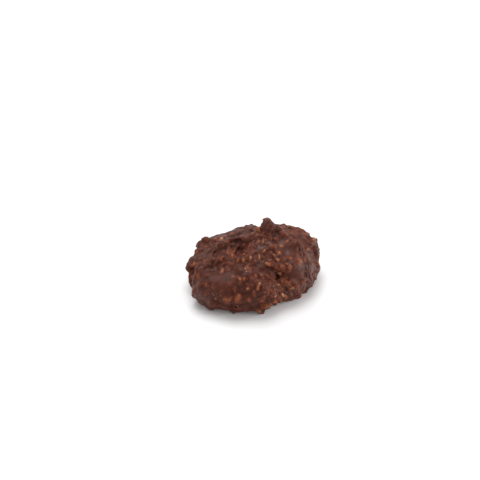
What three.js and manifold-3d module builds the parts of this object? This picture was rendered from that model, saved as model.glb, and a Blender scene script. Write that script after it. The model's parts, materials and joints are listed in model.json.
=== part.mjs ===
// A chocolate coconut cluster: toasted coconut shreds stirred into chocolate, spooned into a mound and left
// to set on a flat tray. It is one solid lump, so the model is one mesh: a mound whose skin is lifted in a
// ridge by each shred just under it, joined with the shreds that lie on it, and cut flat underneath.
// Millimetres, +Z up. The origin is on the tray, under the middle of the cluster's box, and -Y is the side
// that slumps forward.
import * as THREE from "three";
import { mergeVertices } from "three/addons/utils/BufferGeometryUtils.js";
import Module from "manifold-3d";

const wasm = await Module();
wasm.setup();

// The mound, as a rounded body round a point inside it. Bearings are degrees anticlockwise from +X, seen
// from above.
const MIDDLE_HEIGHT = 5; // height of that point above the tray
const CROWN = 8.8; // from there up to the mound's smooth top
const LEAN = 2.2; // how much higher the crown is at the right end than in the middle
const KEEL = 10; // from there down to where the sides would close, if the tray did not cut them off
const FULLNESS = 2.55; // 2 is an ellipse from the side, and more is boxier
const MOUND_DETAIL = 22; // splits of each icosahedron edge

// How far the spread reaches at each bearing: the front left slumps out and the right end leans back.
const REACH = [
  [12, 20.9],
  [30, 20.6],
  [52, 17.6],
  [92, 13.6],
  [124, 13.4],
  [150, 15.6],
  [172, 16.9],
  [196, 18.2],
  [212, 19.5],
  [228, 20.9],
  [243, 19.6],
  [260, 18.3],
  [279, 18.3],
  [293, 17.2],
  [305, 16.2],
  [322, 18.4],
  [338, 20.2],
  [356, 20.6],
];

// The swell of the surface: waves of seeded direction, the long ones taller than the short ones.
const SWELL_LONGEST = 10; // mm between crests
const SWELL_SHORTEST = 3.6;
const SWELL_WAVES = 30;
const SWELL_STEEPNESS = 0.016; // height of a wave over its length

// Smooth bulges and hollows of the mound, as [bearing, rise above the middle in degrees, spread, height].
const BULGES = [
  [26, 64, 1.9, 5.0], // the peak
  [34, 57, 3.6, 0.9],
  [52, 52, 3.8, -1.0],
  [5, 50, 4.0, 0.8],
  [352, 36, 3.4, 0.8],
  [155, 20, 3.4, 2.5], // the shoulder at the left
  [189, 6, 1.5, 2.9], // the nub at the left end
  [184, 44, 1.5, 1.3],
  [106, 75, 1.4, 1.2],
  [126, 32, 4.6, -1.9],
  [80, 42, 3.2, -2.0],
  [204, 46, 3.2, 0.8],
  [221, 66, 2.8, -1.9], // the hollow in front of the crest
  [12, 21, 4.2, 1.6],
  [344, -4, 3.2, -0.9],
  [292, -6, 3.0, 1.0], // the lobe of the foot
  [314, 20, 3.4, -0.9],
  [211, -9, 3.2, -1.3],
  [60, 22, 3.6, 0.8],
  [100, 12, 3.0, 0.8],
];

// Shreds that show plainly at the front, as [bearing, rise, bearing, rise, width] from end to end.
const RIBS = [
  [299, 37, 321, 23, 1.3],
  [198, 51, 234, 46, 1.0],
  [231, 53, 238, 44, 1.0],
  [234, 29, 245, 37, 1.2],
  [61, 61, 20, 69, 1.2],
  [359, 33, 348, 25, 1.3],
  [307, 15, 315, 7, 1.8],
  [275, 29, 276, 18, 1.2],
  [283, -3, 290, -7, 1.4],
  [257, 3, 264, 2, 1.8],
  [249, 6, 256, 6, 1.5],
  [201, 13, 205, 18, 1.2],
  [339, 17, 339, -1, 0.9],
  [345, 16, 343, 0, 0.9],
  [198, 26, 214, 16, 1.0],
  [197, 31, 216, 21, 1.0],
  [172, 48, 140, 68, 1.3],
  [22, 32, 14, 30, 1.3],
];
const RIB_STAND = 0.15; // how far a rib's middle line lies above the mound

// Where the chocolate ran smooth over the shreds, as [bearing, rise, radius].
const POOLS = [
  [240, 18, 6.5],
  [337, 36, 2.8],
  [327, 18, 2.6],
  [196, 28, 2.2],
];

// Shreds that lie under the skin and lift it in a ridge, spread evenly and turned at random.
const RIDGES = 230;
const RIDGE_LENGTH = [1.4, 4.2]; // between the middles of its round ends
const RIDGE_REACH = [0.9, 1.5]; // how far its slopes reach to each side
const RIDGE_HEIGHT = [0.35, 1.1];

// Shreds that lie loose on the skin with chocolate set over them, spread and turned in the same way.
const SHREDS = 33;
const SHRED_LENGTH = [2.2, 4.8];
const SHRED_WIDTH = [1.0, 1.6];
const SHRED_THICKNESS = [0.9, 1.2];
const SHRED_BEND = 0.7; // most that a shred's ends curl away from its middle
const SHRED_TILT = 18; // most that it tips out of the top of the mound, in degrees, and less at the sides
const SHRED_STAND = [-0.3, 0.2]; // how far its middle line lies above the skin
const SHRED_SIDES = 6;
const SHRED_END = 0.42; // place of the end rings along the shred, as a share of its length
const SHRED_END_WIDTH = 0.8; // their width, as a share of the shred's
const MOUND_ROUND = 16; // radius that a lying shred follows
const LOWEST_RISE = -20; // in degrees: a shred below it would be under the tray's level
const HIGHEST_RISE = 88; // above it a bearing says nothing
const NUDGE = 40; // degrees by which even spacing is disturbed, over the square root of the count

const SWELL_SEED = 5;
const RIDGE_SEED = 12;
const SHRED_SEED = 31;

// A repeatable random number from 0 to 1.
function makeRandom(seed) {
  let state = seed;
  return () => {
    state = (state * 1664525 + 1013904223) % 4294967296;
    return state / 4294967296;
  };
}

const between = ([low, high], random) => low + (high - low) * random();
const radians = THREE.MathUtils.degToRad;

function direction(bearing, rise) {
  const flat = Math.cos(radians(rise));
  return new THREE.Vector3(
    flat * Math.cos(radians(bearing)),
    flat * Math.sin(radians(bearing)),
    Math.sin(radians(rise)),
  );
}

// The outline seen from above, as one smooth closed curve through REACH.
const outline = new THREE.CatmullRomCurve3(
  REACH.map(([bearing, reach]) => direction(bearing, 0).multiplyScalar(reach)),
  true,
  "centripetal",
);
const OUTLINE_STEPS = 720;
const outlinePoints = outline.getPoints(OUTLINE_STEPS).map((point) => ({
  bearing: Math.atan2(point.y, point.x),
  reach: Math.hypot(point.x, point.y),
}));
outlinePoints.sort((a, b) => a.bearing - b.bearing);

function reachAt(bearing) {
  const next = outlinePoints.findIndex((point) => point.bearing >= bearing);
  const after = outlinePoints[next < 0 ? 0 : next];
  const before = outlinePoints[(next < 1 ? outlinePoints.length : next) - 1];
  const gap = (after.bearing - before.bearing + 2 * Math.PI) % (2 * Math.PI);
  const past = (bearing - before.bearing + 2 * Math.PI) % (2 * Math.PI);
  const share = gap > 0 ? past / gap : 0;
  return before.reach + (after.reach - before.reach) * share;
}

const swellRandom = makeRandom(SWELL_SEED);
const waves = Array.from({ length: SWELL_WAVES }, (_, i) => {
  const rise = THREE.MathUtils.radToDeg(Math.asin(2 * swellRandom() - 1));
  return {
    along: direction(360 * swellRandom(), rise),
    length: SWELL_LONGEST * (SWELL_SHORTEST / SWELL_LONGEST) ** (i / (SWELL_WAVES - 1)),
    start: 2 * Math.PI * swellRandom(),
  };
});

function swellAt(point) {
  return waves.reduce((sum, wave) => {
    const turns = (2 * Math.PI * point.dot(wave.along)) / wave.length;
    return sum + SWELL_STEEPNESS * wave.length * Math.sin(turns + wave.start);
  }, 0);
}

// The distance from the middle to the mound's skin along a direction, before the shreds lift it.
function moundDistance(towards) {
  const flat = Math.hypot(towards.x, towards.y);
  const bearing = Math.atan2(towards.y, towards.x);
  const height = towards.z > 0 ? CROWN + LEAN * towards.x : KEEL;
  const share =
    (flat / reachAt(bearing)) ** FULLNESS + (Math.abs(towards.z) / height) ** FULLNESS;
  const smooth = share ** (-1 / FULLNESS);
  const bulge = BULGES.reduce((sum, [bearing, rise, spread, rest]) => {
    const apart = smooth * towards.angleTo(direction(bearing, rise));
    return sum + rest * Math.exp(-((apart / spread) ** 2));
  }, 0);
  return smooth + bulge + swellAt(towards.clone().multiplyScalar(smooth));
}

function inPool(towards) {
  const distance = moundDistance(towards);
  return POOLS.some(
    ([bearing, rise, radius]) => distance * towards.angleTo(direction(bearing, rise)) < radius,
  );
}

// Directions spread evenly over the mound by the golden angle, each nudged a little, leaving out the pools.
function evenDirections(count, random) {
  const golden = 180 * (3 - Math.sqrt(5));
  const share = (1 - Math.sin(radians(LOWEST_RISE))) / 2;
  const all = Math.round(count / share);
  const nudge = () => (NUDGE * (random() - 0.5)) / Math.sqrt(all);
  return Array.from({ length: all }, (_, i) => {
    const rise = THREE.MathUtils.radToDeg(Math.asin(1 - (2 * (i + 0.5)) / all));
    return [golden * i + nudge(), rise + nudge()];
  })
    .filter(([, rise]) => rise > LOWEST_RISE && rise < HIGHEST_RISE)
    .map(([bearing, rise]) => direction(bearing, rise))
    .filter((towards) => !inPool(towards));
}

// A level direction across an outward one, turned at random about it.
function turned(out, random) {
  const level = new THREE.Vector3(0, 0, 1).cross(out).normalize();
  return level.applyAxisAngle(out, 2 * Math.PI * random());
}

const ridgeRandom = makeRandom(RIDGE_SEED);
const ridges = evenDirections(RIDGES, ridgeRandom).map((towards) => {
  const half = turned(towards, ridgeRandom).multiplyScalar(between(RIDGE_LENGTH, ridgeRandom) / 2);
  const centre = towards.clone().multiplyScalar(moundDistance(towards));
  return {
    line: new THREE.Line3(centre.clone().sub(half), centre.clone().add(half)),
    reach: between(RIDGE_REACH, ridgeRandom),
    height: between(RIDGE_HEIGHT, ridgeRandom),
  };
});

// How far the shreds under the skin lift it at a point: as far as the one that lifts it most.
function ridgeAt(point) {
  const nearest = new THREE.Vector3();
  return ridges.reduce((most, ridge) => {
    const apart = ridge.line.closestPointToPoint(point, true, nearest).distanceTo(point) / ridge.reach;
    return apart < 1 ? Math.max(most, ridge.height * Math.sqrt(1 - apart * apart)) : most;
  }, 0);
}

function skinDistance(towards) {
  const distance = moundDistance(towards);
  return distance + ridgeAt(towards.clone().multiplyScalar(distance));
}

const middle = new THREE.Vector3(0, 0, MIDDLE_HEIGHT);

function skinPoint(towards) {
  return towards.clone().multiplyScalar(skinDistance(towards)).add(middle);
}

const NORMAL_STEP = 0.08;

// The way out of the skin at a direction, from three points close together on it.
function skinNormal(towards) {
  const side = new THREE.Vector3(0, 0, 1).cross(towards).normalize();
  const up = towards.clone().cross(side);
  const near = (offset) => skinPoint(towards.clone().addScaledVector(offset, NORMAL_STEP).normalize());
  const here = skinPoint(towards);
  return near(side).sub(here).cross(near(up).sub(here)).normalize();
}

const SAME_PLACE = 1e-4; // vertices closer than this are one

// A closed three.js geometry as a solid.
function solid(geometry) {
  const bare = geometry.clone();
  bare.deleteAttribute("normal");
  bare.deleteAttribute("uv");
  const merged = mergeVertices(bare, SAME_PLACE);
  return new wasm.Manifold(
    new wasm.Mesh({
      numProp: 3,
      vertProperties: merged.attributes.position.array,
      triVerts: new Uint32Array(merged.index.array),
    }),
  );
}

function mound() {
  const geometry = new THREE.IcosahedronGeometry(1, MOUND_DETAIL);
  const place = geometry.attributes.position;
  for (let i = 0; i < place.count; i++) {
    const towards = new THREE.Vector3().fromBufferAttribute(place, i).normalize();
    place.setXYZ(i, ...skinPoint(towards));
  }
  return solid(geometry);
}

// A strip with blunt ends, its length along x and its thickness along z, bent sideways and sagging at its ends.
function strip(length, width, thickness, bend, sag) {
  const rings = [
    [0, -0.5],
    [SHRED_END_WIDTH / 2, -SHRED_END],
    [0.5, 0],
    [SHRED_END_WIDTH / 2, SHRED_END],
    [0, 0.5],
  ];
  const geometry = new THREE.LatheGeometry(
    rings.map(([across, along]) => new THREE.Vector2(across, along)),
    SHRED_SIDES,
  );
  geometry.rotateZ(-Math.PI / 2);
  const place = geometry.attributes.position;
  for (let i = 0; i < place.count; i++) {
    const [x, y, z] = [place.getX(i), place.getY(i), place.getZ(i)];
    const away = 4 * x * x;
    place.setXYZ(i, x * length, y * width + bend * away, z * thickness - sag * away);
  }
  return geometry;
}

// A strip laid on the mound, its length along one vector and its flat side facing out along another.
function laid(geometry, along, out, centre) {
  const across = out.clone().cross(along).normalize();
  const facing = along.clone().cross(across);
  geometry.applyMatrix4(new THREE.Matrix4().makeBasis(along, across, facing).setPosition(centre));
  return solid(geometry);
}

const shredRandom = makeRandom(SHRED_SEED);

function shred(towards) {
  const out = skinNormal(towards);
  const along = turned(out, shredRandom);
  const tilt = radians(SHRED_TILT) * (2 * shredRandom() - 1) * Math.max(0, towards.z);
  along.applyAxisAngle(out.clone().cross(along), tilt);
  const length = between(SHRED_LENGTH, shredRandom);
  const width = between(SHRED_WIDTH, shredRandom);
  const thickness = between(SHRED_THICKNESS, shredRandom);
  const bend = SHRED_BEND * (2 * shredRandom() - 1);
  const sag = length ** 2 / (8 * MOUND_ROUND);
  const centre = skinPoint(towards).addScaledVector(out, between(SHRED_STAND, shredRandom));
  return laid(strip(length, width, thickness, bend, sag), along, out, centre);
}

function rib([fromBearing, fromRise, toBearing, toRise, width]) {
  const from = skinPoint(direction(fromBearing, fromRise));
  const to = skinPoint(direction(toBearing, toRise));
  const halfway = from.clone().add(to).multiplyScalar(0.5);
  const towards = halfway.clone().sub(middle).normalize();
  const out = skinNormal(towards);
  const centre = skinPoint(towards).addScaledVector(out, RIB_STAND);
  const sag = Math.max(0, centre.clone().sub(halfway).dot(out) - RIB_STAND);
  const geometry = strip(from.distanceTo(to) + width, width, SHRED_THICKNESS[1], 0, sag);
  return laid(geometry, to.clone().sub(from).normalize(), out, centre);
}

const TRAY_SLAB = 100;

// What lies below the tray's level, as a slab to cut away.
function belowTray() {
  const slab = new THREE.BoxGeometry(TRAY_SLAB, TRAY_SLAB, TRAY_SLAB);
  slab.translate(0, 0, -TRAY_SLAB / 2);
  return solid(slab);
}

function cluster() {
  const shreds = evenDirections(SHREDS, shredRandom).map(shred);
  const joined = wasm.Manifold.union([mound(), ...RIBS.map(rib), ...shreds]);
  const flat = joined.subtract(belowTray());
  const whole = flat.decompose().sort((a, b) => b.volume() - a.volume())[0];
  const made = whole.getMesh();
  const geometry = new THREE.BufferGeometry();
  const places = new Float32Array(made.numVert * 3);
  for (let i = 0; i < made.numVert; i++) {
    places.set(made.vertProperties.subarray(i * made.numProp, i * made.numProp + 3), i * 3);
  }
  geometry.setAttribute("position", new THREE.BufferAttribute(places, 3));
  geometry.setIndex(new THREE.BufferAttribute(made.triVerts, 1));
  geometry.computeBoundingBox();
  const centre = geometry.boundingBox.getCenter(new THREE.Vector3());
  geometry.translate(-centre.x, -centre.y, -geometry.boundingBox.min.z);
  geometry.computeVertexNormals();
  return geometry;
}

const chocolate = new THREE.MeshStandardMaterial({
  color: new THREE.Color().setRGB(0.36, 0.23, 0.19, THREE.SRGBColorSpace),
  roughness: 0.45,
  metalness: 0,
});

const group = new THREE.Group();
const mesh = new THREE.Mesh(cluster(), chocolate);
mesh.name = "coconut_cluster";
group.add(mesh);

export default group;
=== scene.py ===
import json
import math
import random

import bpy
import numpy as np
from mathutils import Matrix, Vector, noise
from mathutils.bvhtree import BVHTree
from mathutils.kdtree import KDTree

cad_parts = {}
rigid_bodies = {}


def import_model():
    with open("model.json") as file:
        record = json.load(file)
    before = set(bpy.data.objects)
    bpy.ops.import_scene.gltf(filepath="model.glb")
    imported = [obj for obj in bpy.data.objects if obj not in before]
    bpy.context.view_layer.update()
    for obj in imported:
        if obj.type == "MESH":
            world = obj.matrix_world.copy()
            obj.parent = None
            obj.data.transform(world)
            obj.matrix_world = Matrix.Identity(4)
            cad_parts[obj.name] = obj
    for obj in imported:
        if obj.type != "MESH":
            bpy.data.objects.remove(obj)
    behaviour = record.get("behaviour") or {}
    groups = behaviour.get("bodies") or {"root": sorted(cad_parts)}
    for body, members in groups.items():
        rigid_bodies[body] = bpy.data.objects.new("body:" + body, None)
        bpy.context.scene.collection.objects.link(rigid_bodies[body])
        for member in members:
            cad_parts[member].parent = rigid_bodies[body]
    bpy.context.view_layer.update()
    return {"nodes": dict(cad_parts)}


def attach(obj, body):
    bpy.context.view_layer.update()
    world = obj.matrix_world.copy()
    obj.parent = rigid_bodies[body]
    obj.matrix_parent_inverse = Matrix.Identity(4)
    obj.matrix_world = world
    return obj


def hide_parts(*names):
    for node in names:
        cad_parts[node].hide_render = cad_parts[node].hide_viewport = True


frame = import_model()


# Camera
# The photograph looks down on the cluster at about 40 degrees through a short telephoto lens.
# The cluster is 41 mm long and lies a little below the middle of a picture 480 pixels wide.
MM = 0.001
PHOTO_WIDTH = 480
LENS = 60.0
SENSOR = 36.0
LOOKING_DOWN = math.radians(40)
PIXELS_PER_MM = 3.215
BASE_PIXEL = (253, 281)
CLIP_START = 0.01
CLIP_END = 5

focal = LENS / SENSOR * PHOTO_WIDTH
towards_camera = Vector((0, -math.cos(LOOKING_DOWN), math.sin(LOOKING_DOWN)))
picture_up = Vector((0, math.sin(LOOKING_DOWN), math.cos(LOOKING_DOWN)))
picture_right = Vector((1, 0, 0))
eye = towards_camera * focal / PIXELS_PER_MM * MM
aim = (
    picture_up * (BASE_PIXEL[1] - PHOTO_WIDTH / 2)
    - picture_right * (BASE_PIXEL[0] - PHOTO_WIDTH / 2)
) / PIXELS_PER_MM * MM
camera_turn = (aim - eye).to_track_quat("-Z", "Y")

bpy.ops.object.select_all(action="DESELECT")
bpy.ops.object.camera_add(location=eye, rotation=camera_turn.to_euler())
camera = bpy.context.object
camera.name = "photo_camera"
camera.data.lens = LENS
camera.data.sensor_width = SENSOR
camera.data.clip_start = CLIP_START
camera.data.clip_end = CLIP_END
bpy.context.scene.camera = camera


# Mound
# The spooned heap that the shreds lie in, of chocolate that has sunk and set on a flat tray.
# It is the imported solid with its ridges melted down, a little lean, so that the shreds bring it to size.
MOUND_VOXEL = 0.3 * MM
MOUND_MELT = 5
MOUND_REMELT = 2
MOUND_LEAN = 0.3 * MM
MOUND_FOOT = 1.3 * MM
MOUND_SETTLE = 25
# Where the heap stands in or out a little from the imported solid: a pixel of the photograph, and how far
# around it and how far out in mm.
SEEN_TRIMS = [
    (198, 305, 4.0, -0.7), (200.5, 242.5, 2.6, 0.5), (190.5, 250.5, 2.8, -1.3),
    (190, 286, 4.5, 0.9), (317, 262, 4.5, 0.7), (308, 231, 3.0, -0.3), (280, 224.5, 2.5, -0.6),
    (258.8, 225.4, 2.2, -1.0), (197, 236.5, 2.2, -0.5), (211, 236, 2.5, -0.5),
    (262, 220, 1.6, -0.6), (273.2, 220.5, 1.4, -0.5), (301.6, 304, 2.0, -0.5),
    (230, 232, 5.0, 0.45), (245, 226, 4.5, 0.35), (317, 245, 3.0, 0.7), (226, 311.5, 5.0, -0.4),
    (238, 313, 5.5, -0.55), (250, 313, 5.5, -0.55), (261, 312, 4.5, -0.55), (219, 269, 4.0, -0.5),
    (319, 257, 3.0, 0.5), (300, 302, 2.5, 0.3), (188.5, 279, 2.6, -1.0), (206, 308, 2.5, 0.4),
    (192.5, 270.5, 2.2, -0.9), (229, 245.4, 2.3, -0.9), (276, 277.5, 1.9, -0.5),
    (270.5, 271.2, 1.6, -0.4), (238, 268, 3.4, -0.5), (298, 228, 3.0, 0.35), (194.5, 295, 3.5, 0.4),
    (260.5, 230, 1.9, -0.8), (188.5, 257.5, 2.4, -1.2), (311, 288, 3.0, 0.35),
]
SAME_PLACE = 0.01 * MM
RAY_STEPS = 10


def select_only(piece):
    """Leaves one piece selected and active."""
    bpy.ops.object.select_all(action="DESELECT")
    piece.select_set(True)
    bpy.context.view_layer.objects.active = piece


def finish_with(piece, kind, **settings):
    """Adds one modifier to a piece and applies it."""
    select_only(piece)
    modifier = piece.modifiers.new(kind.lower(), kind)
    for name, value in settings.items():
        setattr(modifier, name, value)
    bpy.ops.object.modifier_apply(modifier=modifier.name)


def melt(piece, times):
    """Lets a surface flow: the finer a bump is, the sooner it sinks."""
    finish_with(piece, "SMOOTH", factor=0.5, iterations=times)


def remesh(piece, voxel):
    """Makes one even skin of everything that overlaps."""
    finish_with(piece, "REMESH", mode="VOXEL", voxel_size=voxel, adaptivity=0, use_smooth_shade=True)


def grow(piece, distance):
    """Moves a skin out along its normals, or in when the distance is negative."""
    finish_with(piece, "DISPLACE", strength=distance, mid_level=0)


def points_of(mesh):
    """The places of a mesh's points, one row each."""
    flat = np.empty(len(mesh.vertices) * 3)
    mesh.vertices.foreach_get("co", flat)
    return flat.reshape(-1, 3)


def normals_of(mesh):
    """The normals of a mesh's points, one row each."""
    flat = np.empty(len(mesh.vertices) * 3)
    mesh.vertices.foreach_get("normal", flat)
    return flat.reshape(-1, 3)


def put_points(piece, points):
    """Moves all the points of a piece to new places, one row each."""
    piece.data.vertices.foreach_set("co", points.ravel())
    piece.data.update()


def settle(piece, height, times):
    """Lets the foot of a piece flow smooth up to a height, as where the chocolate ran down onto the tray."""
    before = points_of(piece.data)
    melt(piece, times)
    low = np.clip(2 - before[:, 2:] / height, 0, 1)
    put_points(piece, before * (1 - low) + points_of(piece.data) * low)


def tree_of(mesh):
    """A search tree over a mesh's faces."""
    return BVHTree.FromPolygons(
        [point.co for point in mesh.vertices], [face.vertices for face in mesh.polygons]
    )


def ray_through(x, y):
    """The direction from the camera through a pixel of the photograph."""
    ray = camera_turn @ Vector(((x - PHOTO_WIDTH / 2) / focal, (PHOTO_WIDTH / 2 - y) / focal, -1))
    return ray.normalized()


def shown_at(place, x, y):
    """A place moved sideways until it shows at a pixel."""
    ray = ray_through(x, y)
    return eye + ray * (place - eye).dot(ray)


def seen_at(tree, x, y):
    """Where a pixel shows a skin, or the skin's nearest edge, and which way the skin faces there."""
    ray = ray_through(x, y)
    place, facing, _, _ = tree.ray_cast(eye, ray)
    if place is None:
        beside = eye + ray * eye.length
        for _ in range(RAY_STEPS):
            place, facing, _, _ = tree.find_nearest(beside)
            beside = shown_at(place, x, y)
    return place, facing


def seen_places_of(rows):
    """Turns rows of a pixel, a reach and a distance in mm into places on the mound, in metres."""
    return [(np.array(seen_at(mound_tree, x, y)[0]), reach * MM, out * MM) for x, y, reach, out in rows]


def swelling(points, places):
    """How far the strongest place near each point pushes it: fully up to half the place's reach."""
    push = np.zeros(len(points))
    for middle, reach, out in places:
        nearness = np.clip(2 - 2 * np.linalg.norm(points - middle, axis=1) / reach, 0, 1)
        swell = out * nearness * nearness * (3 - 2 * nearness)
        push = np.where(np.abs(swell) > np.abs(push), swell, push)
    return push


def push_out(piece, places):
    """Moves a skin out round the places, or in where their distance is negative."""
    points = points_of(piece.data)
    put_points(piece, points + normals_of(piece.data) * swelling(points, places)[:, None])


mound = bpy.data.objects.new("mound", frame["nodes"]["coconut_cluster"].data.copy())
bpy.context.collection.objects.link(mound)
select_only(mound)
bpy.ops.object.mode_set(mode="EDIT")
bpy.ops.mesh.select_all(action="SELECT")
bpy.ops.mesh.remove_doubles(threshold=SAME_PLACE)
bpy.ops.object.mode_set(mode="OBJECT")
remesh(mound, MOUND_VOXEL)
melt(mound, MOUND_MELT)
grow(mound, -MOUND_LEAN)
mound_tree = tree_of(mound.data)
push_out(mound, seen_places_of(SEEN_TRIMS))
remesh(mound, MOUND_VOXEL)
melt(mound, MOUND_REMELT)
settle(mound, MOUND_FOOT, MOUND_SETTLE)
mound_tree = tree_of(mound.data)


# Shreds
# Toasted coconut cut in short strips and stirred into melted chocolate, so they lie every way in the coat.
# One strip is modelled, six-sided with worn ends, and each copy is sized, bent and laid on the mound.
SHRED_SIDES = 6
SHRED_START = 0.66
# How far each extrusion goes, in lengths of the strip, and how many times as wide it ends.
SHRED_STEPS = [(0.14, 1.35), (0.24, 1.12), (0.24, 0.97), (0.22, 0.88), (0.16, 0.62)]
SHRED_COVERED = 0.3
SHRED_DEPTH = 0.9
# The coat over a strip and the thinnest strip under it, in mm.
COAT = 0.1
LEAST_CORE = 0.4
# The strips that the photograph shows: the pixels of their two ends, width and stand in mm, and how bare.
SEEN_SHREDS = [
    ((266.5, 263.5), (272, 265.5), 1.5, 0.75, 0.75),
    ((272, 265.4), (281, 269), 1.1, 0.5, 0.5),
    ((288.4, 271), (290, 266), 1.4, 0.8, 0.7),
    ((255.4, 231.6), (261, 230.6), 1.7, 1.3, 0.9),
    ((229.3, 247.5), (227, 254), 0.8, 0.45, 0.6),
    ((232.5, 250), (229.5, 256), 0.9, 0.55, 0.55),
    ((235.4, 251), (231.6, 257.8), 1.0, 0.75, 0.8),
    ((238.9, 258.4), (238, 262.2), 1.0, 0.6, 0.55),
    ((244.3, 258), (243.4, 262.2), 1.0, 0.55, 0.55),
    ((251, 256), (250.6, 260.4), 1.0, 0.55, 0.6),
    ((236.6, 252.4), (238.4, 254), 0.9, 0.5, 0.3),
    ((245.4, 251.4), (246.6, 252.6), 0.9, 0.4, 0.45),
    ((221.5, 267.5), (222.2, 274), 0.9, 0.3, 0.7),
    ((220.2, 267.4), (226, 262.8), 1.1, 0.35, 0.25),
    ((226, 262.8), (233, 264.5), 1.1, 0.35, 0.35),
    ((225, 243.2), (229.6, 239.6), 0.9, 0.5, 0.6),
    ((242.8, 238.6), (249.2, 241.2), 1.6, 1.0, 0.35),
    ((228, 240.5), (241, 237.5), 1.2, 0.35, 0.1),
    ((191.2, 266.6), (197.2, 263.6), 1.1, 0.7, 0.5),
    ((187.6, 266.6), (189.4, 272.5), 1.6, 0.4, 0.15),
    ((268, 231), (270.5, 239.5), 1.2, 0.5, 0.2),
    ((281, 232.5), (285.5, 238), 2.0, 0.4, 0.2),
    ((281.5, 226), (285.5, 226), 1.5, 0.5, 0.3),
    ((288.6, 231.5), (293, 233.5), 1.1, 0.4, 0.5),
    ((295.8, 229.3), (301.6, 230.4), 1.0, 0.4, 0.65),
    ((302, 233.5), (308.8, 234), 1.3, 0.3, 0.4),
    ((312.8, 238.6), (314.6, 241.4), 1.2, 0.5, 0.8),
    ((274, 239), (277.4, 240.4), 1.1, 0.5, 0.4),
    ((285, 242.8), (288, 241.4), 1.0, 0.4, 0.6),
    ((280.4, 246.4), (283, 246.4), 0.9, 0.35, 0.45),
    ((272, 249.5), (276, 246), 1.2, 0.45, 0.35),
    ((262.8, 252.5), (266.6, 249.6), 1.2, 0.5, 0.6),
    ((257, 244), (259.6, 241.8), 1.0, 0.4, 0.6),
    ((262.2, 244.5), (263.6, 240.5), 0.8, 0.35, 0.5),
    ((259.2, 253.4), (259.4, 261.6), 0.6, 0.25, 0.5),
    ((275.4, 258.6), (278.8, 260.4), 1.0, 0.4, 0.7),
    ((283.4, 259.6), (286.6, 258.6), 1.1, 0.4, 0.5),
    ((287.8, 260), (290.8, 259.4), 1.0, 0.35, 0.5),
    ((297.2, 256), (301.4, 262), 1.0, 0.45, 0.7),
    ((296, 251), (298.5, 239.5), 0.8, 0.4, 0.2),
    ((298.5, 239.5), (303.2, 251), 0.8, 0.4, 0.2),
    ((303.8, 254), (307.5, 247.5), 0.8, 0.35, 0.2),
    ((307.5, 247.5), (311.6, 255), 0.8, 0.35, 0.2),
    ((315.6, 247.5), (317, 256), 1.8, 0.3, 0.3),
    ((278, 272.2), (280.6, 274.4), 0.9, 0.45, 0.75),
    ((260.2, 274), (262.8, 279), 0.9, 0.4, 0.6),
    ((254.6, 275.5), (255.6, 277.5), 0.7, 0.35, 0.6),
    ((268.6, 277.8), (273, 281.3), 0.9, 0.35, 0.3),
    ((250.4, 272.7), (252.4, 287.7), 1.6, 0.3, 0.2),
    ((259.6, 282.6), (257.6, 290), 1.0, 0.45, 0.7),
    ((262.8, 286), (267.2, 289), 1.1, 0.35, 0.3),
    ((277.8, 284.2), (279.4, 285.4), 0.8, 0.4, 0.8),
    ((279.5, 281), (288.6, 284), 2.2, 0.55, 0.3),
    ((290.8, 278.4), (295.6, 284), 1.2, 0.45, 0.35),
    ((289.4, 288.6), (295.6, 286.8), 1.1, 0.4, 0.6),
    ((281.6, 293.8), (285.6, 297.4), 1.1, 0.4, 0.8),
    ((238, 277.4), (241.4, 280.4), 1.0, 0.3, 0.65),
    ((243, 278), (245, 279.8), 0.9, 0.3, 0.6),
    ((232, 275.8), (233.6, 277), 0.8, 0.25, 0.5),
    ((228.6, 284), (231.4, 283.5), 1.1, 0.12, 0.45),
    ((235, 286.4), (235.2, 292.8), 0.9, 0.15, 0.4),
    ((246.5, 290), (249, 288), 0.9, 0.3, 0.6),
    ((224, 299.5), (232.8, 298.6), 1.9, 0.12, 0.62),
    ((235.4, 296), (239.6, 301.6), 2.1, 0.12, 0.62),
    ((247.4, 298), (250.4, 301.6), 1.1, 0.15, 0.45),
    ((238, 313.6), (241.4, 313.2), 0.9, 0.25, 0.6),
    ((263.6, 306.8), (270.2, 305.4), 1.7, 0.35, 0.7),
    ((257.2, 308.6), (261, 313.4), 1.1, 0.45, 0.6),
    ((273.2, 304.8), (276, 301.6), 1.1, 0.45, 0.8),
    ((284.2, 301.8), (288, 300.9), 0.9, 0.3, 0.75),
    ((295, 299), (300.5, 297), 1.3, 0.4, 0.4),
    ((303, 294.5), (306, 290.5), 1.2, 0.4, 0.35),
    ((317, 262), (317.6, 269), 1.3, 0.3, 0.4),
    ((199.4, 276), (199.6, 279), 0.9, 0.2, 0.45),
]
SEEN_ROUGH = 0.05
SEEN_BARENESS = 0.8
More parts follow.
